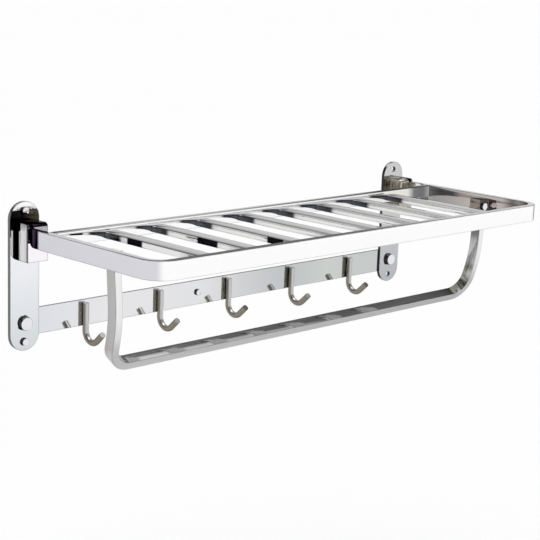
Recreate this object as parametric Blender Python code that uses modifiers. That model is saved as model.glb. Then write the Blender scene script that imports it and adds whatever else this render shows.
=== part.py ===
"""Folding towel rack: wall plates, hinge blocks, slatted shelf, swinging towel bar and hook rail.

Metres, +Z up. The wall is the plane Y = 0 and the rack stands out towards -Y. The origin is on
the wall, midway between the two plates and at their mid-height.
"""
import math

import bmesh
import bpy
from mathutils import Matrix, Vector

MM = 0.001
GAP = 0.3 * MM            # left between pieces that touch, are pressed together or welded

# Wall plates
PLATE_X = 287 * MM        # plate centre line, either side of the middle
PLATE_W = 36 * MM
PLATE_H = 158 * MM
PLATE_T = 4 * MM
WALL_HOLE_Z = 69.5 * MM   # wall-screw holes above and below the middle
WALL_HOLE_R = 3.3 * MM

# Hook rail and its fasteners
RAIL_Z = -49.5 * MM       # centre line of the rail
RAIL_H = 29 * MM
RAIL_T = 1.8 * MM
RAIL_END_X = 297 * MM
BOLT_HEAD_R = 7.3 * MM
BOLT_HEAD_L = 5.4 * MM
BOLT_SHANK_R = 3 * MM
SCREW_HEAD_R = 3.7 * MM
SCREW_HEAD_L = 2.8 * MM
SCREW_SHANK_R = 2 * MM
RAIL_SCREW_X = -45.5 * MM

# Hooks
HOOK_COUNT = 5
HOOK_PITCH = 104.5 * MM
HOOK_R = 3.5 * MM
HOOK_BEND_R = 11.7 * MM
HOOK_TOP_Z = -38.3 * MM
HOOK_CENTRE_Z = -68.6 * MM
HOOK_SWEEP = math.radians(90 + 43)
HOOK_TAIL = 14 * MM       # straight end beyond the bend

# Shelf frame
FRAME_X = 300 * MM        # outer faces of the arms
FRAME_T = 8 * MM
FRAME_H = 19 * MM
SHELF_TOP = 55.7 * MM
FRONT_Y = -230.3 * MM
CORNER_R = 26 * MM

# Hinge
BLOCK_X = 299.3 * MM      # outer cheek
BLOCK_W = 24.8 * MM
BLOCK_BOTTOM = 19.7 * MM
BLOCK_TOP = 59.3 * MM
BLOCK_NOSE_R = 4.5 * MM     # round top front edge, which the arm end swings past
BLOCK_FRONT = -27 * MM
PIN_Y = -16 * MM
PIN_Z = 50.7 * MM
PIN_R = 2 * MM
LEAF_R = 5 * MM
LEAF_T = 4 * MM
LEAF_X = 294.3 * MM
LEAF_CLEAR = 0.4 * MM
TONGUE_REAR = -28.5 * MM
TONGUE_FRONT = -46 * MM
TONGUE_T = 7.2 * MM
TONGUE_SWEEP = 1.0 * MM    # how far its outer face curves in towards the leaf
TONGUE_CORNER_R = 9 * MM

# Rear rail and slats
CROSS_REAR = -53 * MM
CROSS_T = 8 * MM
CROSS_H = 14.8 * MM
SLAT_COUNT = 8
SLAT_PITCH = 62.5 * MM
SLAT_W = 19.5 * MM
SLAT_H = 7.1 * MM
SLAT_TOP = 50.3 * MM
TUBE_WALL = 1.2 * MM

# Towel bar (bail), its knuckles and pivots
PIVOT_Y = -145.5 * MM
PIVOT_Z = 43 * MM
PIVOT_R = 2.5 * MM
KNUCKLE_IN = 277.7 * MM
KNUCKLE_OUT = 290.4 * MM
KNUCKLE_D = 16 * MM
KNUCKLE_H = 18 * MM
WASHER_R = 6 * MM
BAIL_X = 283.5 * MM         # outer face of the uprights at the start of the corners
BAIL_SPLAY = 5 * MM         # how much wider the uprights stand at their tops
BAIL_T = 8.4 * MM
BAIL_D = 12.5 * MM
BAIL_BOTTOM = -74 * MM       # before its lower part is bent back
BAIL_CORNER_R = 28 * MM
BAIL_BEND_Z = 2 * MM      # below this height the bail bends back to the wall
BAIL_BEND_R = 160 * MM
BAIL_Y = PIVOT_Y - 2.5 * MM   # mid-depth of the uprights
CAP_R = 4.6 * MM
CAP_L = 3.6 * MM
CAP_SHANK_R = 1.5 * MM
CAP_SHANK_L = 3.2 * MM

EDGE = 0.5 * MM           # broken edge of the bars and blocks
ROUND_STEPS = 24
LEFT, RIGHT = -1, 1
SIDES = {"left": LEFT, "right": RIGHT}

COLOURS = {
    "polished steel": ((0.86, 0.87, 0.88), 0.08, 1.0),
    "polished steel, warm": ((0.80, 0.79, 0.77), 0.10, 1.0),
    "pin steel": ((0.62, 0.62, 0.63), 0.30, 1.0),
    "nylon": ((0.82, 0.82, 0.80), 0.55, 0.0),
}


# ---------------------------------------------------------------- scene and helpers

def clear_scene():
    for obj in list(bpy.data.objects):
        bpy.data.objects.remove(obj)
    for block in list(bpy.data.collections):
        bpy.data.collections.remove(block)


def make_collection(name):
    collection = bpy.data.collections.new(name)
    bpy.context.scene.collection.children.link(collection)
    return collection


def material(name):
    found = bpy.data.materials.get(name)
    if found:
        return found
    colour, roughness, metallic = COLOURS[name]
    made = bpy.data.materials.new(name)
    made.use_nodes = True
    shader = made.node_tree.nodes["Principled BSDF"]
    shader.inputs["Base Color"].default_value = (*colour, 1.0)
    shader.inputs["Roughness"].default_value = roughness
    shader.inputs["Metallic"].default_value = metallic
    return made


def add_object(name, mesh, collection):
    obj = bpy.data.objects.new(name, mesh)
    collection.objects.link(obj)
    return obj


def finish(obj, finish_name="polished steel", sharp=35):
    obj.data.materials.clear()
    obj.data.materials.append(material(finish_name))
    obj.data.shade_smooth()
    obj.data.set_sharp_from_angle(angle=math.radians(sharp))
    return obj


def arc(centre, radius, start, end, steps):
    """Points on an arc, with both ends; angles in degrees, anticlockwise when end > start."""
    points = []
    for i in range(steps + 1):
        a = math.radians(start + (end - start) * i / steps)
        points.append((centre[0] + radius * math.cos(a), centre[1] + radius * math.sin(a)))
    return points


def circle(centre, radius, steps=ROUND_STEPS):
    return arc(centre, radius, 0, 360, steps)[:-1]


def to_mesh(obj, collection):
    """The curve object as a mesh object with welded caps, in the same place."""
    graph = bpy.context.evaluated_depsgraph_get()
    mesh = bpy.data.meshes.new_from_object(obj.evaluated_get(graph))
    work = bmesh.new()
    work.from_mesh(mesh)
    bmesh.ops.remove_doubles(work, verts=work.verts, dist=0.00001)
    bmesh.ops.recalc_face_normals(work, faces=work.faces)
    work.to_mesh(mesh)
    work.free()
    name, place = obj.name, obj.matrix_world.copy()
    bpy.data.objects.remove(obj)
    made = add_object(name, mesh, collection)
    made.matrix_world = place
    return made


def outline(name, loops, thickness, turn, place, collection):
    """A flat plate with the given outline, and holes for any further loops."""
    curve = bpy.data.curves.new(name, "CURVE")
    curve.dimensions = "2D"
    curve.fill_mode = "BOTH"
    curve.extrude = thickness / 2
    for loop in loops:
        spline = curve.splines.new("POLY")
        spline.points.add(len(loop) - 1)
        for point, (u, v) in zip(spline.points, loop):
            point.co = (u, v, 0, 1)
        spline.use_cyclic_u = True
    obj = add_object(name, curve, collection)
    obj.rotation_euler = turn
    obj.location = place
    bpy.context.view_layer.update()
    return to_mesh(obj, collection)


UPRIGHT = (math.radians(90), 0, 0)                  # outline drawn in X and Z, thick along Y
SIDEWAYS = (math.radians(90), 0, math.radians(90))  # outline drawn in Y and Z, thick along X
LEVEL = (0, 0, 0)                                   # outline drawn in X and Y, thick along Z


def box(name, low, high, collection):
    low, high = Vector(low), Vector(high)
    work = bmesh.new()
    bmesh.ops.create_cube(work, size=1)
    bmesh.ops.scale(work, vec=high - low, verts=work.verts)
    mesh = bpy.data.meshes.new(name)
    work.to_mesh(mesh)
    work.free()
    obj = add_object(name, mesh, collection)
    obj.location = (low + high) / 2
    return obj


def side_box(name, side, inner, outer, low, high, collection):
    """A box between two distances from the middle, on the left or the right."""
    xs = sorted((side * inner, side * outer))
    return box(name, (xs[0], low[0], low[1]), (xs[1], high[0], high[1]), collection)


def rod(name, radius, start, end, collection, steps=ROUND_STEPS):
    """A plain round bar from start to end."""
    start, end = Vector(start), Vector(end)
    work = bmesh.new()
    bmesh.ops.create_cone(work, cap_ends=True, segments=steps, radius1=radius,
                          radius2=radius, depth=(end - start).length)
    mesh = bpy.data.meshes.new(name)
    work.to_mesh(mesh)
    work.free()
    obj = add_object(name, mesh, collection)
    turn = (end - start).to_track_quat("Z", "Y").to_matrix().to_4x4()
    obj.matrix_world = Matrix.Translation((start + end) / 2) @ turn
    return obj


def turned(name, profile, place, direction, collection, steps=ROUND_STEPS):
    """A turned piece: profile points (radius, height) from the top down, along direction."""
    mesh = bpy.data.meshes.new(name)
    points = [(r, 0, h) for r, h in profile]
    mesh.from_pydata(points, [(i, i + 1) for i in range(len(points) - 1)], [])
    obj = add_object(name, mesh, collection)
    screw = obj.modifiers.new("turn", "SCREW")
    screw.axis = "Z"
    screw.angle = math.tau
    screw.steps = steps
    screw.render_steps = steps
    screw.use_merge_vertices = True
    screw.merge_threshold = 0.00001
    screw.use_smooth_shade = True
    turn = Vector(direction).to_track_quat("Z", "Y").to_matrix().to_4x4()
    obj.matrix_world = Matrix.Translation(place) @ turn
    return obj


def combine(obj, other, operation, cutters):
    """Boolean of obj with other; other moves to the cutters."""
    for collection in list(other.users_collection):
        collection.objects.unlink(other)
    cutters.objects.link(other)
    other.hide_render = True
    other.display_type = "WIRE"
    step = obj.modifiers.new(operation.lower(), "BOOLEAN")
    step.operation = operation
    step.solver = "EXACT"
    step.object = other
    return obj


def break_edges(obj, width=EDGE, segments=2, angle=40):
    step = obj.modifiers.new("edges", "BEVEL")
    step.width = width
    step.segments = segments
    step.limit_method = "ANGLE"
    step.angle_limit = math.radians(angle)
    return obj


def hang_on(obj, axis):
    """Parents the piece to the empty on its joint's axis, without moving it."""
    obj.parent = axis
    obj.matrix_parent_inverse = axis.matrix_world.inverted()
    return obj


# ---------------------------------------------------------------- fixed to the wall

def capsule(half_width, half_height, steps=16):
    """Upright outline with half-round ends, about the origin."""
    straight = half_height - half_width
    return (arc((0, straight), half_width, 0, 180, steps)
            + arc((0, -straight), half_width, 180, 360, steps))


def wall_plate(name, side, parts, cutters):
    holes = [circle((0, z), WALL_HOLE_R) for z in (WALL_HOLE_Z, -WALL_HOLE_Z)]
    holes.append(circle((0, RAIL_Z), BOLT_SHANK_R + GAP))
    plate = outline(name, [capsule(PLATE_W / 2, PLATE_H / 2), *holes], PLATE_T, UPRIGHT,
                    (side * PLATE_X, -PLATE_T / 2, 0), parts)
    rebate = side_box(name + "_rebate", side, PLATE_X - PLATE_W, RAIL_END_X + GAP,
                      (-RAIL_T - GAP, RAIL_Z - RAIL_H / 2 - GAP),
                      (PLATE_T, RAIL_Z + RAIL_H / 2 + GAP), cutters)
    combine(plate, rebate, "DIFFERENCE", cutters)
    break_edges(plate, 0.4 * MM)
    return finish(plate)


def hook_rail(parts):
    low, high = -RAIL_H / 2, RAIL_H / 2
    shape = [(-RAIL_END_X, low), (RAIL_END_X, low), (RAIL_END_X, high), (-RAIL_END_X, high)]
    holes = [circle((side * PLATE_X, 0), BOLT_SHANK_R + GAP) for side in SIDES.values()]
    holes.append(circle((RAIL_SCREW_X, 0), SCREW_SHANK_R + GAP))
    rail = outline("hook_rail", [shape, *holes], RAIL_T - 0.1 * MM, UPRIGHT,
                   (0, -RAIL_T / 2 - 0.05 * MM, RAIL_Z), parts)
    return finish(rail)


def cap_profile(head_r, head_l, shank_r, shank_l):
    """Cap screw: domed head with a rounded rim over a plain shank."""
    rim = 0.16 * head_r
    dome = 0.13 * head_r
    face_r = head_r - rim
    points = [(face_r * t, head_l - dome * t ** 2) for t in (0, 0.3, 0.55, 0.8)]
    points += [(face_r + rim * math.sin(a), head_l - dome - rim + rim * math.cos(a))
               for a in (0, math.pi / 6, math.pi / 3, math.pi / 2)]
    points += [(head_r, 0), (shank_r, 0), (shank_r, -shank_l), (0, -shank_l)]
    return points


def rail_bolt(name, side, parts):
    profile = cap_profile(BOLT_HEAD_R, BOLT_HEAD_L, BOLT_SHANK_R, PLATE_T)
    place = (side * PLATE_X, -PLATE_T - GAP, RAIL_Z)
    bolt = turned(name, profile, place, (0, -1, 0), parts, 32)
    return finish(bolt)


def rail_screw(parts):
    profile = cap_profile(SCREW_HEAD_R, SCREW_HEAD_L, SCREW_SHANK_R, RAIL_T - 0.2 * MM)
    place = (RAIL_SCREW_X, -RAIL_T - GAP, RAIL_Z)
    return finish(turned("rail_screw", profile, place, (0, -1, 0), parts))


def wall_screw(name, z, parts):
    profile = cap_profile(SCREW_HEAD_R + 0.3 * MM, SCREW_HEAD_L, SCREW_SHANK_R, PLATE_T)
    place = (LEFT * PLATE_X, -PLATE_T - GAP, z)
    return finish(turned(name, profile, place, (0, -1, 0), parts))


def hook_path():
    """Centre line of a hook in Y and Z: a straight stem, a bend forwards and a straight tail."""
    stem_y = -RAIL_T - GAP - HOOK_R
    centre_y = stem_y - HOOK_BEND_R
    points = [(stem_y, HOOK_TOP_Z)]
    steps = 16
    for i in range(steps + 1):
        a = HOOK_SWEEP * i / steps
        points.append((centre_y + HOOK_BEND_R * math.cos(a),
                       HOOK_CENTRE_Z - HOOK_BEND_R * math.sin(a)))
    y, z = points[-1]
    points.append((y - HOOK_TAIL * math.sin(HOOK_SWEEP), z - HOOK_TAIL * math.cos(HOOK_SWEEP)))
    return points


def hook(name, x, parts):
    curve = bpy.data.curves.new(name, "CURVE")
    curve.dimensions = "3D"
    curve.bevel_depth = HOOK_R
    curve.bevel_resolution = 4
    curve.use_fill_caps = True
    points = hook_path()
    spline = curve.splines.new("POLY")
    spline.points.add(len(points) - 1)
    for point, (y, z) in zip(spline.points, points):
        point.co = (0, y, z, 1)
    obj = add_object(name, curve, parts)
    obj.location = (x, 0, 0)
    bpy.context.view_layer.update()
    return finish(to_mesh(obj, parts), sharp=50)


def hinge_block(name, side, parts, cutters):
    """Block on the wall plate, with a slot open to the front and top for the shelf's leaf."""
    rear, nose = -PLATE_T - GAP, BLOCK_NOSE_R
    shape = [(rear, BLOCK_TOP), (rear, BLOCK_BOTTOM), (BLOCK_FRONT, BLOCK_BOTTOM)]
    shape += arc((BLOCK_FRONT + nose, BLOCK_TOP - nose), nose, 180, 90, 8)
    block = outline(name, [shape], BLOCK_W, SIDEWAYS, (side * (BLOCK_X - BLOCK_W / 2), 0, 0),
                    parts)
    break_edges(block, 0.8 * MM)
    slot_half = LEAF_T / 2 + LEAF_CLEAR
    slot = side_box(name + "_slot", side, LEAF_X - slot_half, LEAF_X + slot_half,
                    (2 * BLOCK_FRONT, PIN_Z - LEAF_R - GAP),
                    (PIN_Y + LEAF_R + LEAF_CLEAR, 2 * SHELF_TOP), cutters)
    bore = rod(name + "_bore", PIN_R + GAP, (side * (BLOCK_X - 1 * MM), PIN_Y, PIN_Z),
               (side * (BLOCK_X - 2 * BLOCK_W), PIN_Y, PIN_Z), cutters)
    combine(block, slot, "DIFFERENCE", cutters)
    combine(block, bore, "DIFFERENCE", cutters)
    return finish(block)


def hinge_pin(name, side, parts):
    inner = side * (BLOCK_X - BLOCK_W + 0.5 * MM)
    outer = side * (BLOCK_X - 1 * MM - GAP)
    pin = rod(name, PIN_R, (inner, PIN_Y, PIN_Z), (outer, PIN_Y, PIN_Z), parts)
    return finish(pin, "pin steel")


# ---------------------------------------------------------------- folding shelf

def tongue_plan(side):
    """Arm end seen from above: its outer face curves in to run on into the leaf."""
    outer = FRAME_X - (FRAME_T - TONGUE_T) / 2
    steps = 12
    shape = [(outer - TONGUE_T, TONGUE_REAR), (outer - TONGUE_T, TONGUE_FRONT)]
    for i in range(steps + 1):
        t = i / steps
        shape.append((outer - TONGUE_SWEEP * t ** 2,
                      TONGUE_FRONT + (TONGUE_REAR - TONGUE_FRONT) * t))
    return [(side * x, y) for x, y in shape]


def hinge_arm(name, side, parts, cutters):
    """Arm end with a rounded lower rear corner, and the leaf that turns on the hinge pin."""
    bottom = SHELF_TOP - FRAME_H
    tongue = outline(name, [tongue_plan(side)], FRAME_H, LEVEL,
                     (0, 0, SHELF_TOP - FRAME_H / 2), parts)
    r, beyond = TONGUE_CORNER_R, 5 * MM
    centre = (TONGUE_REAR - r, bottom + r)
    waste = arc(centre, r, 270, 360, 10)
    waste += [(TONGUE_REAR + beyond, bottom + r), (TONGUE_REAR + beyond, bottom - beyond),
              (TONGUE_REAR - r, bottom - beyond)]
    corner = outline(name + "_corner", [waste], 4 * TONGUE_T, SIDEWAYS,
                     (side * FRAME_X, 0, 0), cutters)
    break_edges(tongue, 0.6 * MM)
    combine(tongue, corner, "DIFFERENCE", cutters)
    leaf_front = TONGUE_REAR - 6 * MM
    leaf_shape = [(leaf_front, PIN_Z + LEAF_R - GAP), (leaf_front, PIN_Z - LEAF_R)]
    leaf_shape += arc((PIN_Y, PIN_Z), LEAF_R, 270, 440, 14)
    leaf_shape = [(y, min(z, PIN_Z + LEAF_R - GAP)) for y, z in leaf_shape]
    leaf = outline(name + "_leaf", [leaf_shape, circle((PIN_Y, PIN_Z), PIN_R + GAP)], LEAF_T,
                   SIDEWAYS, (side * LEAF_X, 0, 0), cutters)
    combine(tongue, leaf, "UNION", cutters)
    return finish(tongue)


def shelf_frame(parts):
    """Flat bar bent to a U on edge, with round front corners."""
    def path(inset):
        x, y = FRAME_X - inset, FRONT_Y + inset
        r = CORNER_R - inset
        left = arc((-x + r, y + r), r, 180, 270, 10)
        right = arc((x - r, y + r), r, 270, 360, 10)
        return [(-x, TONGUE_FRONT - GAP), *left, *right, (x, TONGUE_FRONT - GAP)]
    shape = path(0) + path(FRAME_T)[::-1]
    frame = outline("shelf_frame", [shape], FRAME_H, LEVEL,
                    (0, 0, SHELF_TOP - FRAME_H / 2), parts)
    break_edges(frame, 0.9 * MM)
    return finish(frame)


def tube_loops(width, height):
    """Outside and inside outlines of a rectangular tube with rounded corners."""
    loops = []
    for inset in (0, TUBE_WALL):
        w, h = width / 2 - inset, height / 2 - inset
        r = 1.5 * MM - inset if inset < 1.2 * MM else 0.3 * MM
        loop = []
        for cx, cy, start in ((w - r, h - r, 0), (r - w, h - r, 90),
                              (r - w, r - h, 180), (w - r, r - h, 270)):
            loop += arc((cx, cy), r, start, start + 90, 3)
        loops.append(loop)
    return loops


def rear_rail(parts):
    inner = FRAME_X - FRAME_T - GAP
    rail = outline("rear_rail", tube_loops(CROSS_T, CROSS_H), 2 * inner, SIDEWAYS,
                   (0, CROSS_REAR - CROSS_T / 2, SHELF_TOP - CROSS_H / 2), parts)
    return finish(rail)


def slat(name, x, parts):
    rear = CROSS_REAR - CROSS_T - GAP
    front = FRONT_Y + FRAME_T + GAP
    piece = outline(name, tube_loops(SLAT_W, SLAT_H), rear - front, UPRIGHT,
                    (x, (rear + front) / 2, SLAT_TOP - SLAT_H / 2), parts)
    return finish(piece)


def pivot_pin(name, side, parts):
    start = (side * (KNUCKLE_IN + 2.5 * MM), PIVOT_Y, PIVOT_Z)
    end = (side * (FRAME_X - FRAME_T - GAP), PIVOT_Y, PIVOT_Z)
    return finish(rod(name, PIVOT_R, start, end, parts), "pin steel")


def pivot_washer(name, side, parts):
    loops = [circle((PIVOT_Y, PIVOT_Z), WASHER_R), circle((PIVOT_Y, PIVOT_Z), PIVOT_R + GAP)]
    inner, outer = KNUCKLE_OUT + GAP, FRAME_X - FRAME_T - GAP
    washer = outline(name, loops, outer - inner, SIDEWAYS,
                     (side * (inner + outer) / 2, 0, 0), parts)
    return finish(washer, "nylon")


# ---------------------------------------------------------------- swinging towel bar

def bail_outline():
    """Front outline of the U, uprights still plumb: down the left side and up the right."""
    top = PIVOT_Z - KNUCKLE_H / 2 - GAP
    corner_z = BAIL_BOTTOM + BAIL_CORNER_R
    steps = 12

    def path(inset):
        x, r = BAIL_X - inset, BAIL_CORNER_R - inset
        drop = [top + (corner_z - top) * i / steps for i in range(steps)]
        left = arc((-x + r, corner_z), r, 180, 270, 12)
        right = arc((x - r, corner_z), r, 270, 360, 12)
        return ([(-x, z) for z in drop] + left + right + [(x, z) for z in reversed(drop)])
    return path(0) + path(BAIL_T)[::-1]


def bail_shape(point):
    """Splays the uprights towards their tops and bends the lower part back to the wall."""
    corner_z = BAIL_BOTTOM + BAIL_CORNER_R
    top = PIVOT_Z - KNUCKLE_H / 2
    x, y, z = point
    if z > corner_z:
        x += math.copysign(BAIL_SPLAY * (z - corner_z) / (top - corner_z), x)
    if z < BAIL_BEND_Z:
        turn, behind = (BAIL_BEND_Z - z) / BAIL_BEND_R, y - BAIL_Y
        y = BAIL_Y + BAIL_BEND_R * (1 - math.cos(turn)) + behind * math.cos(turn)
        z = BAIL_BEND_Z - BAIL_BEND_R * math.sin(turn) + behind * math.sin(turn)
    return x, y, z


def bail(parts):
    obj = outline("bail", [bail_outline()], BAIL_D, UPRIGHT, (0, BAIL_Y, 0), parts)
    obj.data.transform(obj.matrix_world)
    obj.matrix_world = Matrix.Identity(4)
    for vertex in obj.data.vertices:
        vertex.co = bail_shape(vertex.co)
    break_edges(obj, 1.2 * MM)
    return finish(obj)


def knuckle(name, side, parts, cutters):
    """Block that turns on the pivot pin and carries the upright."""
    obj = side_box(name, side, KNUCKLE_IN, KNUCKLE_OUT,
                   (PIVOT_Y - KNUCKLE_D / 2, PIVOT_Z - KNUCKLE_H / 2),
                   (PIVOT_Y + KNUCKLE_D / 2, PIVOT_Z + KNUCKLE_H / 2), parts)
    break_edges(obj, 0.8 * MM)
    bore = rod(name + "_bore", PIVOT_R + GAP,
               (side * (KNUCKLE_IN + 2.2 * MM), PIVOT_Y, PIVOT_Z),
               (side * (KNUCKLE_OUT + 5 * MM), PIVOT_Y, PIVOT_Z), cutters)
    front = PIVOT_Y - KNUCKLE_D / 2
    x = side * (KNUCKLE_IN + KNUCKLE_OUT) / 2
    tapped = rod(name + "_tapped", CAP_SHANK_R + GAP, (x, front - 5 * MM, PIVOT_Z),
                 (x, front + CAP_SHANK_L + GAP, PIVOT_Z), cutters)
    combine(obj, bore, "DIFFERENCE", cutters)
    combine(obj, tapped, "DIFFERENCE", cutters)
    return finish(obj)


def friction_screw(name, side, parts):
    profile = cap_profile(CAP_R, CAP_L, CAP_SHANK_R, CAP_SHANK_L)
    place = (side * (KNUCKLE_IN + KNUCKLE_OUT) / 2, PIVOT_Y - KNUCKLE_D / 2 - GAP, PIVOT_Z)
    return finish(turned(name, profile, place, (0, -1, 0), parts))


# ---------------------------------------------------------------- assembly

def joint_axis(name, place, parent, parts):
    empty = add_object(name, None, parts)
    empty.empty_display_size = 0.03
    empty.location = place
    bpy.context.view_layer.update()
    if parent:
        hang_on(empty, parent)
        bpy.context.view_layer.update()
    return empty


def build():
    clear_scene()
    parts = make_collection("towel_rack")
    cutters = make_collection("cutters")

    for word, side in SIDES.items():
        wall_plate("wall_plate_" + word, side, parts, cutters)
        hinge_block("hinge_block_" + word, side, parts, cutters)
        hinge_pin("hinge_pin_" + word, side, parts)
        rail_bolt("rail_bolt_" + word, side, parts)
    wall_screw("wall_screw_upper", WALL_HOLE_Z, parts)
    wall_screw("wall_screw_lower", -WALL_HOLE_Z, parts)
    hook_rail(parts)
    rail_screw(parts)
    for i in range(HOOK_COUNT):
        hook("hook_%d" % (i + 1), (i - (HOOK_COUNT - 1) / 2) * HOOK_PITCH, parts)

    shelf_axis = joint_axis("shelf_axis", (0, PIN_Y, PIN_Z), None, parts)
    bail_axis = joint_axis("bail_axis", (0, PIVOT_Y, PIVOT_Z), shelf_axis, parts)
    shelf = [shelf_frame(parts), rear_rail(parts)]
    for i in range(SLAT_COUNT):
        shelf.append(slat("slat_%d" % (i + 1), (i - (SLAT_COUNT - 1) / 2) * SLAT_PITCH, parts))
    swinging = [bail(parts)]
    for word, side in SIDES.items():
        shelf.append(hinge_arm("hinge_arm_" + word, side, parts, cutters))
        shelf.append(pivot_pin("pivot_pin_" + word, side, parts))
        shelf.append(pivot_washer("pivot_washer_" + word, side, parts))
        swinging.append(knuckle("knuckle_" + word, side, parts, cutters))
        swinging.append(friction_screw("friction_screw_" + word, side, parts))
    for piece in shelf:
        hang_on(piece, shelf_axis)
    for piece in swinging:
        hang_on(piece, bail_axis)


build()
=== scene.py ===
import math

import bpy
from mathutils import Matrix, Vector


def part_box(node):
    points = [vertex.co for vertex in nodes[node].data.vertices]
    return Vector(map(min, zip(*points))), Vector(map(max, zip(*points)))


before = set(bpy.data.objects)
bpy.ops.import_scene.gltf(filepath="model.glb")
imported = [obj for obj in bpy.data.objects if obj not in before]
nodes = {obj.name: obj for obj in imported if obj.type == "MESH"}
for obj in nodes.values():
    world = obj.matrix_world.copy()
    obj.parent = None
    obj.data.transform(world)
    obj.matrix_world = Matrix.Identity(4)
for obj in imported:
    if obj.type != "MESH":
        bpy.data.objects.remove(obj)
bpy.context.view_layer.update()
mm = 0.001
print("frame loaded:", len(nodes), "nodes")


# camera

cameraSetup = {
    "place": (-1128.8, -1214.1, 330.9),   # mm
    "turn": -44.70,                       # degrees from straight ahead, to the right
    "tilt": -12.20,
    "roll": 2.16,
    "lens": 96.17,
    "sensor": 36.0,
}


def makeCamera(setup):
    turn, tilt, roll = (math.radians(setup[k]) for k in ("turn", "tilt", "roll"))
    forward = Vector((-math.sin(turn) * math.cos(tilt),
                      math.cos(turn) * math.cos(tilt), math.sin(tilt)))
    level = Vector((math.cos(turn), math.sin(turn), 0))
    upright = level.cross(forward)
    right = math.cos(roll) * level + math.sin(roll) * upright
    up = -math.sin(roll) * level + math.cos(roll) * upright
    data = bpy.data.cameras.new("rackCamera")
    data.lens = setup["lens"]
    data.sensor_width = setup["sensor"]
    data.clip_end = 500
    camera = bpy.data.objects.new("rackCamera", data)
    bpy.context.scene.collection.objects.link(camera)
    axes = Matrix((right, up, -forward)).transposed().to_4x4()
    camera.matrix_world = Matrix.Translation(Vector(setup["place"]) * mm) @ axes
    bpy.context.scene.camera = camera


makeCamera(cameraSetup)
print("camera placed")


# small helpers that build node trees

def newTree(material):
    material.use_nodes = True
    tree = material.node_tree
    tree.nodes.clear()
    return tree


def plug(tree, socket, value):
    if isinstance(value, bpy.types.NodeSocket):
        tree.links.new(value, socket)
    else:
        socket.default_value = value


def addNode(tree, kind, inputs=None, **settings):
    node = tree.nodes.new(kind)
    for key, value in settings.items():
        setattr(node, key, value)
    for key, value in (inputs or {}).items():
        plug(tree, node.inputs[key], value)
    return node


def calc(tree, operation, a, b=0.0, clamp=False):
    return addNode(tree, "ShaderNodeMath", {0: a, 1: b}, operation=operation,
                   use_clamp=clamp).outputs[0]


def ease(tree, value, start, end):    # 0 at start, 1 at end, smooth between
    return addNode(tree, "ShaderNodeMapRange",
                   {"Value": value, "From Min": start, "From Max": end},
                   interpolation_type="SMOOTHSTEP").outputs[0]


def mixColour(tree, factor, a, b):
    node = addNode(tree, "ShaderNodeMix", data_type="RGBA", clamp_factor=True)
    for key, value in ((0, factor), (6, a), (7, b)):
        plug(tree, node.inputs[key], value)
    return node.outputs[2]


def shade(seen):    # tones are written as they look, 0 to 255; nodes want linear light
    r, g, b = (seen, seen, seen) if isinstance(seen, (int, float)) else seen
    return (*((max(c, 0) / 255) ** 2.2 for c in (r, g, b)), 1.0)


def toneAlong(tree, place, axis, tones):    # tones: (millimetres, tone) pairs, rising
    first, last = tones[0][0], tones[-1][0]
    where = addNode(tree, "ShaderNodeMapRange",
                    {"Value": place[axis], "From Min": first * mm, "From Max": last * mm})
    ramp = addNode(tree, "ShaderNodeValToRGB", {0: where.outputs[0]})
    points = ramp.color_ramp.elements
    while len(points) < len(tones):
        points.new(0.5)
    for point, (at, tone) in zip(points, tones):
        point.position = (at - first) / (last - first)
        point.color = shade(tone)
    return ramp.outputs[0]


def faceTone(tree, place, tone):    # one tone, or ("Y", [(millimetres, tone), ...])
    if isinstance(tone, tuple) and isinstance(tone[0], str):
        return toneAlong(tree, place, tone[0], tone[1])
    return shade(tone)


def inBox(tree, place, box, soft):    # box: {"X": (low, high), ...} in millimetres
    mask = None
    for axis, (low, high) in box.items():
        middle, half = (low + high) / 2 * mm, (high - low) / 2 * mm
        off = calc(tree, "ABSOLUTE", calc(tree, "SUBTRACT", place[axis], middle))
        inside = ease(tree, off, half + soft * mm / 2, half - soft * mm / 2)
        mask = inside if mask is None else calc(tree, "MULTIPLY", mask, inside)
    return mask


# polished steel with painted reflections: each face's colour is painted with the tone of the room
# it looks at

polishAndEdgeReflections = {
    "roughness": 0.05,
    "smear": 0.04,          # extra roughness where the polish is hazy
    "hazeScale": 14.0,
    "waveScale": 9.0,       # slow ripple left by the polishing wheel
    "waveHeight": 0.0008,
    "lineScale": 900.0,     # fine polishing lines
    "lineHeight": 0.00001,
    "unevenness": 0.03,
    "edge": 1.7,            # width of the painted dark reflections along the edges, mm
    "edgeTop": 62,          # tone of the painted edge reflections along top and left edges
    "edgeOther": 150,       # and along the others
    "edgeForce": 1.0,
    "grazing": 0.6,         # how far glancing views keep the tone: 1 fully, 0 not at all
}
faceNames = ("left", "right", "front", "back", "top", "under")


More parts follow.
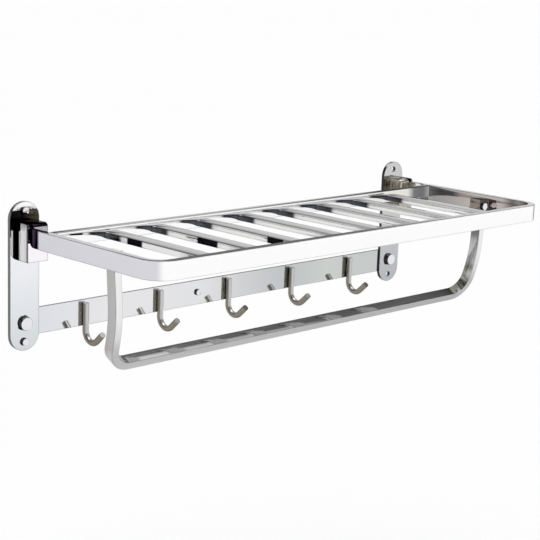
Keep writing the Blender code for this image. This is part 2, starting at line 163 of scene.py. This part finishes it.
def steelWithPaintedReflections(name, faces, patches=(), along="X", **changes):
    look = {**polishAndEdgeReflections, **changes}
    material = bpy.data.materials.new(name)
    tree = newTree(material)
    coordinates = addNode(tree, "ShaderNodeTexCoord")
    point = coordinates.outputs["Object"]
    place = dict(zip("XYZ", addNode(tree, "ShaderNodeSeparateXYZ", {0: point}).outputs))
    facing = addNode(tree, "ShaderNodeSeparateXYZ", {0: coordinates.outputs["Normal"]})
    nx, ny, nz = facing.outputs
    # painted reflections: one tone for each way a face can point, blended by its normal
    tone = {face: faceTone(tree, place, faces.get(face, faces["other"])) for face in faceNames}

    sideways = mixColour(tree, ease(tree, nx, -0.1, 0.1), tone["left"], tone["right"])
    frontBack = mixColour(tree, ease(tree, ny, -0.1, 0.1), tone["front"], tone["back"])
    upDown = mixColour(tree, ease(tree, nz, -0.1, 0.1), tone["under"], tone["top"])
    ySquared = calc(tree, "MULTIPLY", ny, ny)
    zSquared = calc(tree, "MULTIPLY", nz, nz)
    base = mixColour(tree, ease(tree, ySquared, 0.4, 0.75), sideways, frontBack)
    base = mixColour(tree, ease(tree, zSquared, 0.35, 0.65), base, upDown)

    # painted reflections laid on in soft boxes, some only on faces turned one way
    for patch in patches:
        mask = inBox(tree, place, patch["box"], patch.get("soft", 3))
        axis, sign = patch.get("facing", (None, 1))
        if axis:
            turned = calc(tree, "MULTIPLY", dict(zip("XYZ", (nx, ny, nz)))[axis], sign)
            mask = calc(tree, "MULTIPLY", mask, ease(tree, turned, *patch.get("turn", (0.4, 0.7))))
        mask = calc(tree, "MULTIPLY", mask, patch.get("force", 1.0))
        base = mixColour(tree, mask, base, faceTone(tree, place, patch["tone"]))

    # painted reflections: a dark line along every edge, darker on top and left edges than on the
    # others
    if look["edgeForce"] > 0:
        rounded = addNode(tree, "ShaderNodeBevel", {"Radius": look["edge"] * mm}, samples=6)
        own = addNode(tree, "ShaderNodeNewGeometry").outputs["Normal"]
        same = addNode(tree, "ShaderNodeVectorMath", {0: rounded.outputs[0], 1: own},
                       operation="DOT_PRODUCT").outputs["Value"]
        line = ease(tree, same, 0.99, 0.9)
        line = calc(tree, "MULTIPLY", line, look["edgeForce"])
        turned = addNode(tree, "ShaderNodeSeparateXYZ", {0: rounded.outputs[0]}).outputs
        darker = calc(tree, "MAXIMUM", ease(tree, turned[2], 0.1, 0.45),
                      ease(tree, turned[0], -0.3, -0.6))
        edgeReflectionTone = mixColour(tree, darker, shade(look["edgeOther"]), shade(look["edgeTop"]))
        base = mixColour(tree, line, base, edgeReflectionTone)

    stretch = {"X": (0.02, 1, 1), "Y": (1, 0.02, 1), "Z": (1, 1, 0.02)}[along]
    drawn = addNode(tree, "ShaderNodeMapping", {"Vector": point, "Scale": stretch})
    haze = addNode(tree, "ShaderNodeTexNoise",
                   {"Vector": point, "Scale": look["hazeScale"], "Detail": 3.0}).outputs[0]
    lines = addNode(tree, "ShaderNodeTexNoise",
                    {"Vector": drawn.outputs[0], "Scale": look["lineScale"], "Detail": 2.0})
    wave = addNode(tree, "ShaderNodeTexNoise",
                   {"Vector": point, "Scale": look["waveScale"], "Detail": 1.0})
    base = mixColour(tree, calc(tree, "MULTIPLY", haze, look["unevenness"]), base, shade(0))
    rough = addNode(tree, "ShaderNodeMapRange",
                    {"Value": haze, "From Min": 0.35, "From Max": 0.8,
                     "To Min": look["roughness"], "To Max": look["roughness"] + look["smear"]})
    ripple = addNode(tree, "ShaderNodeBump",
                     {"Height": wave.outputs[0], "Distance": look["waveHeight"],
                      "Strength": 0.6})
    bump = addNode(tree, "ShaderNodeBump",
                   {"Height": lines.outputs[0], "Distance": look["lineHeight"],
                    "Strength": 0.5, "Normal": ripple.outputs[0]})
    grazing = addNode(tree, "ShaderNodeGamma", {"Color": base, "Gamma": look["grazing"]}).outputs[0]
    shader = addNode(tree, "ShaderNodeBsdfPrincipled",
                     {"Base Color": base, "Metallic": 1.0, "Roughness": rough.outputs[0],
                      "Specular Tint": grazing, "Normal": bump.outputs[0]})
    addNode(tree, "ShaderNodeOutputMaterial", {"Surface": shader.outputs[0]})
    return material


def nylonPlastic(name, tint):
    material = bpy.data.materials.new(name)
    tree = newTree(material)
    place = addNode(tree, "ShaderNodeTexCoord").outputs["Object"]
    grain = addNode(tree, "ShaderNodeTexNoise",
                    {"Vector": place, "Scale": 600.0, "Detail": 4.0})
    base = mixColour(tree, grain.outputs["Fac"], shade(tint), shade([c - 8 for c in tint]))
    bump = addNode(tree, "ShaderNodeBump",
                   {"Height": grain.outputs["Fac"], "Distance": 0.0001, "Strength": 0.4})
    shader = addNode(tree, "ShaderNodeBsdfPrincipled",
                     {"Base Color": base, "Roughness": 0.5, "Normal": bump.outputs[0]})
    addNode(tree, "ShaderNodeOutputMaterial", {"Surface": shader.outputs[0]})
    return material


def paint(node, material):
    nodes[node].data.materials.clear()
    nodes[node].data.materials.append(material)


def span(node):    # a node's box as {"X": (low, high), ...} in millimetres
    low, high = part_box(node)
    return {axis: (low[i] / mm, high[i] / mm) for i, axis in enumerate("XYZ")}


# wall plates

# painted reflections: each plate's faces carry painted tones, lighter towards the top, and dark
# side edges
plateLook = {
    "left": {"front": ("Z", [(-80, (211, 217, 220)), (-40, (225, 228, 232)),
                             (0, (236, 238, 242)), (40, (242, 242, 245)), (80, 248)]),
             "left": 122, "other": 200},
    "right": {"front": ("Z", [(-80, (184, 187, 191)), (-30, (192, 194, 197)), (20, 201),
                              (80, 204)]),
              "left": 60, "other": 190},
    "hingeReflectionHigh": (50, 70.5),           # height of the painted reflection of the dark hinge on the left plate
    "hingeReflectionTone": ("X", [(-305, 16), (-288, (36, 32, 34)), (-279, (84, 77, 66)),
                         (-269, (98, 91, 80))]),
    "edgeOther": 125,
}


def finishPlates(look):
    # painted reflection of the dark hinge, a band across the left plate's front
    hingeReflection = {"box": {"Z": look["hingeReflectionHigh"]}, "facing": ("Y", -1), "soft": 1.5,
              "tone": look["hingeReflectionTone"]}
    for side, patches in (("left", [hingeReflection]), ("right", [])):
        paint("wall_plate_" + side,
              steelWithPaintedReflections(side + "PlatePaintedReflections", look[side], patches, "Z",
                            edgeOther=look["edgeOther"]))


finishPlates(plateLook)


# hook rail

# painted reflections: the rail's front tone changes along its length
railLook = {
    "front": ("X", [(-300, (218, 222, 228)), (-180, (232, 231, 234)), (-40, (227, 228, 229)),
                    (20, (210, 212, 214)), (100, (193, 196, 198)), (170, (204, 208, 205)),
                    (300, (196, 200, 200))]),
    "other": 200,
}

paint("hook_rail", steelWithPaintedReflections("hookRailPaintedReflections", railLook, along="X"))


# shelf frame: one bar bent to a U

# painted reflections: a tone per face, bands on the right arm's inner face, a dark patch on the
# right front corner
frameLook = {
    "front": 254, "left": (214, 214, 220), "right": 150, "back": 170, "top": 212,
    "under": 190, "corner": 26, "cornerPaintedTone": 58, "edgeOther": 135,
    "rightInner": ("Y", [(-228, 60), (-212, (85, 78, 72)), (-200, (135, 131, 126)),
                         (-190, (112, 104, 103)), (-176, (182, 173, 170)),
                         (-130, (185, 178, 175)), (-100, (166, 161, 159)), (-70, 149),
                         (-50, (166, 167, 166))]),
    "other": 190,
}


def finishFrame(look):
    box = span("shelf_frame")
    # painted reflection bands on the right arm's inner face, and a painted dark reflection on the
    # rounded right front corner
    inner = {"box": {"X": (0, box["X"][1] - 3)}, "facing": ("X", -1), "soft": 1,
             "tone": look["rightInner"]}
    corner = {"box": {"X": (box["X"][1] - look["corner"], box["X"][1] + 5),
                      "Y": (box["Y"][0] - 5, box["Y"][0] + look["corner"])},
              "facing": ("X", 1), "turn": (0.28, 0.42), "soft": 1,
              "tone": look["cornerPaintedTone"]}
    paint("shelf_frame", steelWithPaintedReflections("framePaintedReflections", look, [inner, corner], "X",
                                       edgeOther=look["edgeOther"]))


finishFrame(frameLook)


# rear rail and slats

# painted reflections: the rear rail's front and top tones change along its length
crossRailLook = {
    "front": ("X", [(-290, 251), (-100, 253), (60, 244), (170, 238), (250, (230, 226, 220)),
                    (262, (120, 122, 124)), (280, (110, 112, 114)), (292, 165)]),
    "top": ("X", [(-290, 120), (-240, 180), (-170, 206), (-60, 216), (80, 204),
                  (160, 166), (200, (112, 107, 100)), (260, (120, 117, 111)), (292, 182)]),
    "left": 120, "other": 180,
}

# painted reflections: the slats' left faces darken towards the rear rail, and three carry a painted
# dark reflection bar
slatLook = {
    "left": ("Y", [(-208, 196), (-190, 202), (-178, 228), (-120, (229, 228, 226)), (-98, 225),
                   (-90, 210), (-85, 62), (-80, (62, 64, 68)), (-72, (74, 76, 82)),
                   (-62, (84, 88, 96))]),
    "top": 202, "right": 225, "under": 218, "other": 200,
    "bar": {"slat_1": (-122, -98), "slat_2": (-165, -134), "slat_3": (-196, -172)},
    "reflectionBarTone": (34, 33, 38),
}

paint("rear_rail", steelWithPaintedReflections("rearRailPaintedReflections", crossRailLook, along="X"))


def finishSlats(look):
    slats = sorted(name for name in nodes if name.startswith("slat_"))
    for slat in slats:
        patches = []
        if slat in look["bar"]:
            # painted dark reflection bar on this slat's left face
            patches.append({"box": {"Y": look["bar"][slat]}, "facing": ("X", -1), "soft": 3,
                            "tone": look["reflectionBarTone"]})
        paint(slat, steelWithPaintedReflections(slat + "PaintedReflections", look, patches, "Y"))


finishSlats(slatLook)


# hinge blocks, their pins and the arm ends

# painted reflections: the left block and left arm end carry painted dark bands on their left faces
# and dark tops
hingeLook = {
    "blockLeft": {"left": ("Y", [(-27.5, 60), (-25.5, 100), (-24, 200), (-20, 216), (-13, 214),
                                 (-11, 60), (-8, 16), (-4, 10)]),
                  "front": (250, 246, 252), "top": (48, 44, 52), "other": 60},
    "blockRight": {"left": (112, 107, 94), "front": (180, 176, 162), "top": (190, 186, 180),
                   "other": 80},
    "armLeft": {"left": ("Y", [(-47, (236, 228, 238)), (-45.2, (150, 142, 152)),
                               (-44, (41, 38, 44)), (-41, (43, 40, 46)), (-39, (66, 62, 70)),
                               (-36, (74, 69, 78)), (-34, (45, 42, 47)), (-28, (50, 46, 52)),
                               (-16, (52, 48, 55))]),
                "front": (236, 228, 238), "top": (98, 92, 102), "other": 60},
    "armRight": {"left": (225, 222, 214), "top": (194, 192, 188), "other": 130},
    "pin": {"other": 116},
    "noseHigh": (52, 62),               # the blocks' rounded top front edges, painted with the top's reflection tone
    "edgeOther": 120,
}


def finishHinges(look):
    for side in ("left", "right"):
        end = side.capitalize()
        block = look["block" + end]
        # painted reflection: the top's tone carried over the rounded nose
        nose = {"box": {"Z": look["noseHigh"]}, "facing": ("Z", 1), "turn": (0.05, 0.3),
                "soft": 1, "tone": block["top"]}
        paint("hinge_block_" + side,
              steelWithPaintedReflections(side + "BlockPaintedReflections", block, [nose], "Z",
                            edgeOther=look["edgeOther"]))
        paint("hinge_arm_" + side,
              steelWithPaintedReflections(side + "ArmEndPaintedReflections", look["arm" + end], along="Z", edgeForce=0.0))
        paint("hinge_pin_" + side, pinSteel)


pinSteel = steelWithPaintedReflections("pinSteel", hingeLook["pin"], roughness=0.25, edgeForce=0.0)
finishHinges(hingeLook)


# towel bar, knuckles, pivots

# painted reflections: a tone per face, changing along height and length, and dark knuckle faces
bailLook = {
    "left": ("Z", [(-70, 215), (-55, (200, 196, 198)), (-48, (180, 175, 175)), (-20, 179),
                   (0, 181), (40, (177, 177, 174))]),
    "front": ("Z", [(-70, (192, 192, 194)), (-50, (190, 189, 188)), (-36, 216), (-16, 234),
                    (40, 240)]),
    "top": ("X", [(-290, 194), (-200, 183), (-100, 176), (60, 166), (180, 175), (240, 150),
                  (262, (98, 100, 92)), (290, 110)]),
    "right": 170, "other": 180, "edgeTop": 118,
    "rightInner": ("Z", [(-62, 80), (-56, (88, 87, 76)), (-50, 140), (-42, (186, 184, 178)),
                         (-34, (134, 132, 126)), (-26, 186), (-14, 190), (0, (172, 169, 168)),
                         (7, 120), (14, 106), (40, 100)]),
}

knuckleLook = {
    "left": {"top": 243, "front": 235, "other": 190},
    "right": {"left": (136, 126, 116), "front": (86, 81, 80), "top": (99, 94, 90),
              "other": 110},
}


def finishBail(look, knuckles):
    # painted reflection bands on the right upright's inner face
    inner = {"box": {"X": (200, 400)}, "facing": ("X", -1), "soft": 2,
             "tone": look["rightInner"]}
    paint("bail", steelWithPaintedReflections("towelBarPaintedReflections", look, [inner], "X",
                                edgeTop=look["edgeTop"]))
    for side in ("left", "right"):
        paint("knuckle_" + side,
              steelWithPaintedReflections(side + "KnucklePaintedReflections", knuckles[side], along="Z"))
        paint("pivot_pin_" + side, pinSteel)
        paint("pivot_washer_" + side, nylon)


nylon = nylonPlastic("washerNylon", (214, 214, 210))
finishBail(bailLook, knuckleLook)


# hooks

# painted reflections: each side of the hooks gets its own tone, darker underneath, at the back and
# on the left
hookLook = {
    "left": (132, 127, 117), "front": (196, 195, 197), "right": (160, 156, 148),
    "top": (200, 200, 202), "under": (124, 114, 101), "back": 90, "other": 120,
}

hookSteel = steelWithPaintedReflections("hookPaintedReflections", hookLook, along="Z", edgeForce=0.0)
for name in nodes:
    if name.startswith("hook_") and name != "hook_rail":
        paint(name, hookSteel)


# bolts and cap screws

# painted reflections: a bright front and darker sides, top and underside
screwLook = {"front": (232, 231, 236), "left": 78, "right": 190, "top": 124, "under": 90,
             "other": 110}

screwSteel = steelWithPaintedReflections("screwPaintedReflections", screwLook, along="Y", edgeForce=0.0)
for name in nodes:
    if name.startswith(("rail_bolt", "rail_screw", "wall_screw", "friction_screw")):
        paint(name, screwSteel)
print("finishes on", len(nodes), "pieces")


# kept out of the mirrors, or the plates would show dark bars across them

for name in ("bail", "shelf_frame"):
    nodes[name].visible_glossy = False


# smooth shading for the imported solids, without touching their points

weldDistance = 0.002 * mm


def smoothByAngle(degrees):
    group = bpy.data.node_groups.new("smoothFaces", "GeometryNodeTree")
    group.interface.new_socket("Geometry", in_out="INPUT", socket_type="NodeSocketGeometry")
    group.interface.new_socket("Geometry", in_out="OUTPUT", socket_type="NodeSocketGeometry")
    start = addNode(group, "NodeGroupInput")
    clean = addNode(group, "GeometryNodeRemoveAttribute",
                    {"Geometry": start.outputs[0], "Name": "custom_normal"})
    weld = addNode(group, "GeometryNodeMergeByDistance",
                   {"Geometry": clean.outputs[0], "Distance": weldDistance})
    faces = addNode(group, "GeometryNodeSetShadeSmooth",
                    {"Geometry": weld.outputs[0], "Shade Smooth": True}, domain="FACE")
    angle = addNode(group, "GeometryNodeInputMeshEdgeAngle")
    flat = addNode(group, "FunctionNodeCompare", {0: angle.outputs[0]},
                   data_type="FLOAT", operation="LESS_THAN")
    flat.inputs[1].default_value = math.radians(degrees)
    edges = addNode(group, "GeometryNodeSetShadeSmooth",
                    {"Geometry": faces.outputs[0], "Shade Smooth": flat.outputs[0]},
                    domain="EDGE")
    addNode(group, "NodeGroupOutput", {0: edges.outputs[0]})
    return group


smoothUpTo = 32    # degrees between faces that blend into one curve
smoothFaces = smoothByAngle(smoothUpTo)
for node in nodes.values():
    step = node.modifiers.new("smoothFaces", "NODES")
    step.node_group = smoothFaces
print("faces smoothed")


# studio

studio = {
    "floorDrop": 0.55,       # metres below the wall plates' middle
    "floorSize": 400.0,
    "floorTint": (0.93, 0.93, 0.93),
    "skyStrength": 1.0,
    "sky": ((0.0, 1.0), (0.64, 1.0), (0.70, 0.25), (0.86, 0.25), (0.90, 1.3), (1.0, 1.3)),
    "sun": 0.9,
    "sunSpread": 90,         # degrees
}


def makeWorld(setup):
    world = bpy.data.worlds.new("studioSky")
    bpy.context.scene.world = world
    world.use_nodes = True
    tree = world.node_tree
    tree.nodes.clear()
    place = addNode(tree, "ShaderNodeTexCoord").outputs["Generated"]
    height = addNode(tree, "ShaderNodeSeparateXYZ", {0: place}).outputs[2]
    level = addNode(tree, "ShaderNodeMapRange",
                    {"Value": height, "From Min": -1.0, "From Max": 1.0})
    ramp = addNode(tree, "ShaderNodeValToRGB", {0: level.outputs[0]})
    stops = setup["sky"]    # brightness from straight down to straight up
    points = ramp.color_ramp.elements
    while len(points) < len(stops):
        points.new(0.5)
    for point, (where, value) in zip(points, stops):
        point.position = where
        point.color = (value, value, value, 1)
    back = addNode(tree, "ShaderNodeBackground",
                   {"Color": ramp.outputs[0], "Strength": setup["skyStrength"]})
    addNode(tree, "ShaderNodeOutputWorld", {0: back.outputs[0]})


def makeFloor(setup):
    half = setup["floorSize"] / 2
    mesh = bpy.data.meshes.new("floor")
    z = -setup["floorDrop"]
    mesh.from_pydata([(-half, -half, z), (half, -half, z), (half, half, z), (-half, half, z)],
                     [], [(0, 1, 2, 3)])
    floor = bpy.data.objects.new("floor", mesh)
    bpy.context.scene.collection.objects.link(floor)
    material = bpy.data.materials.new("floorPaint")
    tree = newTree(material)
    place = addNode(tree, "ShaderNodeTexCoord").outputs["Object"]
    mottle = addNode(tree, "ShaderNodeTexNoise", {"Vector": place, "Scale": 0.8})
    tint = setup["floorTint"]
    base = mixColour(tree, mottle.outputs["Fac"], (*tint, 1.0),
                     (*(c * 0.995 for c in tint), 1.0))
    shader = addNode(tree, "ShaderNodeBsdfDiffuse", {"Color": base})
    addNode(tree, "ShaderNodeOutputMaterial", {"Surface": shader.outputs[0]})
    mesh.materials.append(material)


def makeSun(setup):
    data = bpy.data.lights.new("overheadLight", "SUN")
    data.energy = setup["sun"]
    data.angle = math.radians(setup["sunSpread"])
    data.specular_factor = 0.0
    sun = bpy.data.objects.new("overheadLight", data)
    bpy.context.scene.collection.objects.link(sun)


makeWorld(studio)
makeFloor(studio)
makeSun(studio)
bpy.context.scene.view_settings.view_transform = "Standard"
print("studio ready")
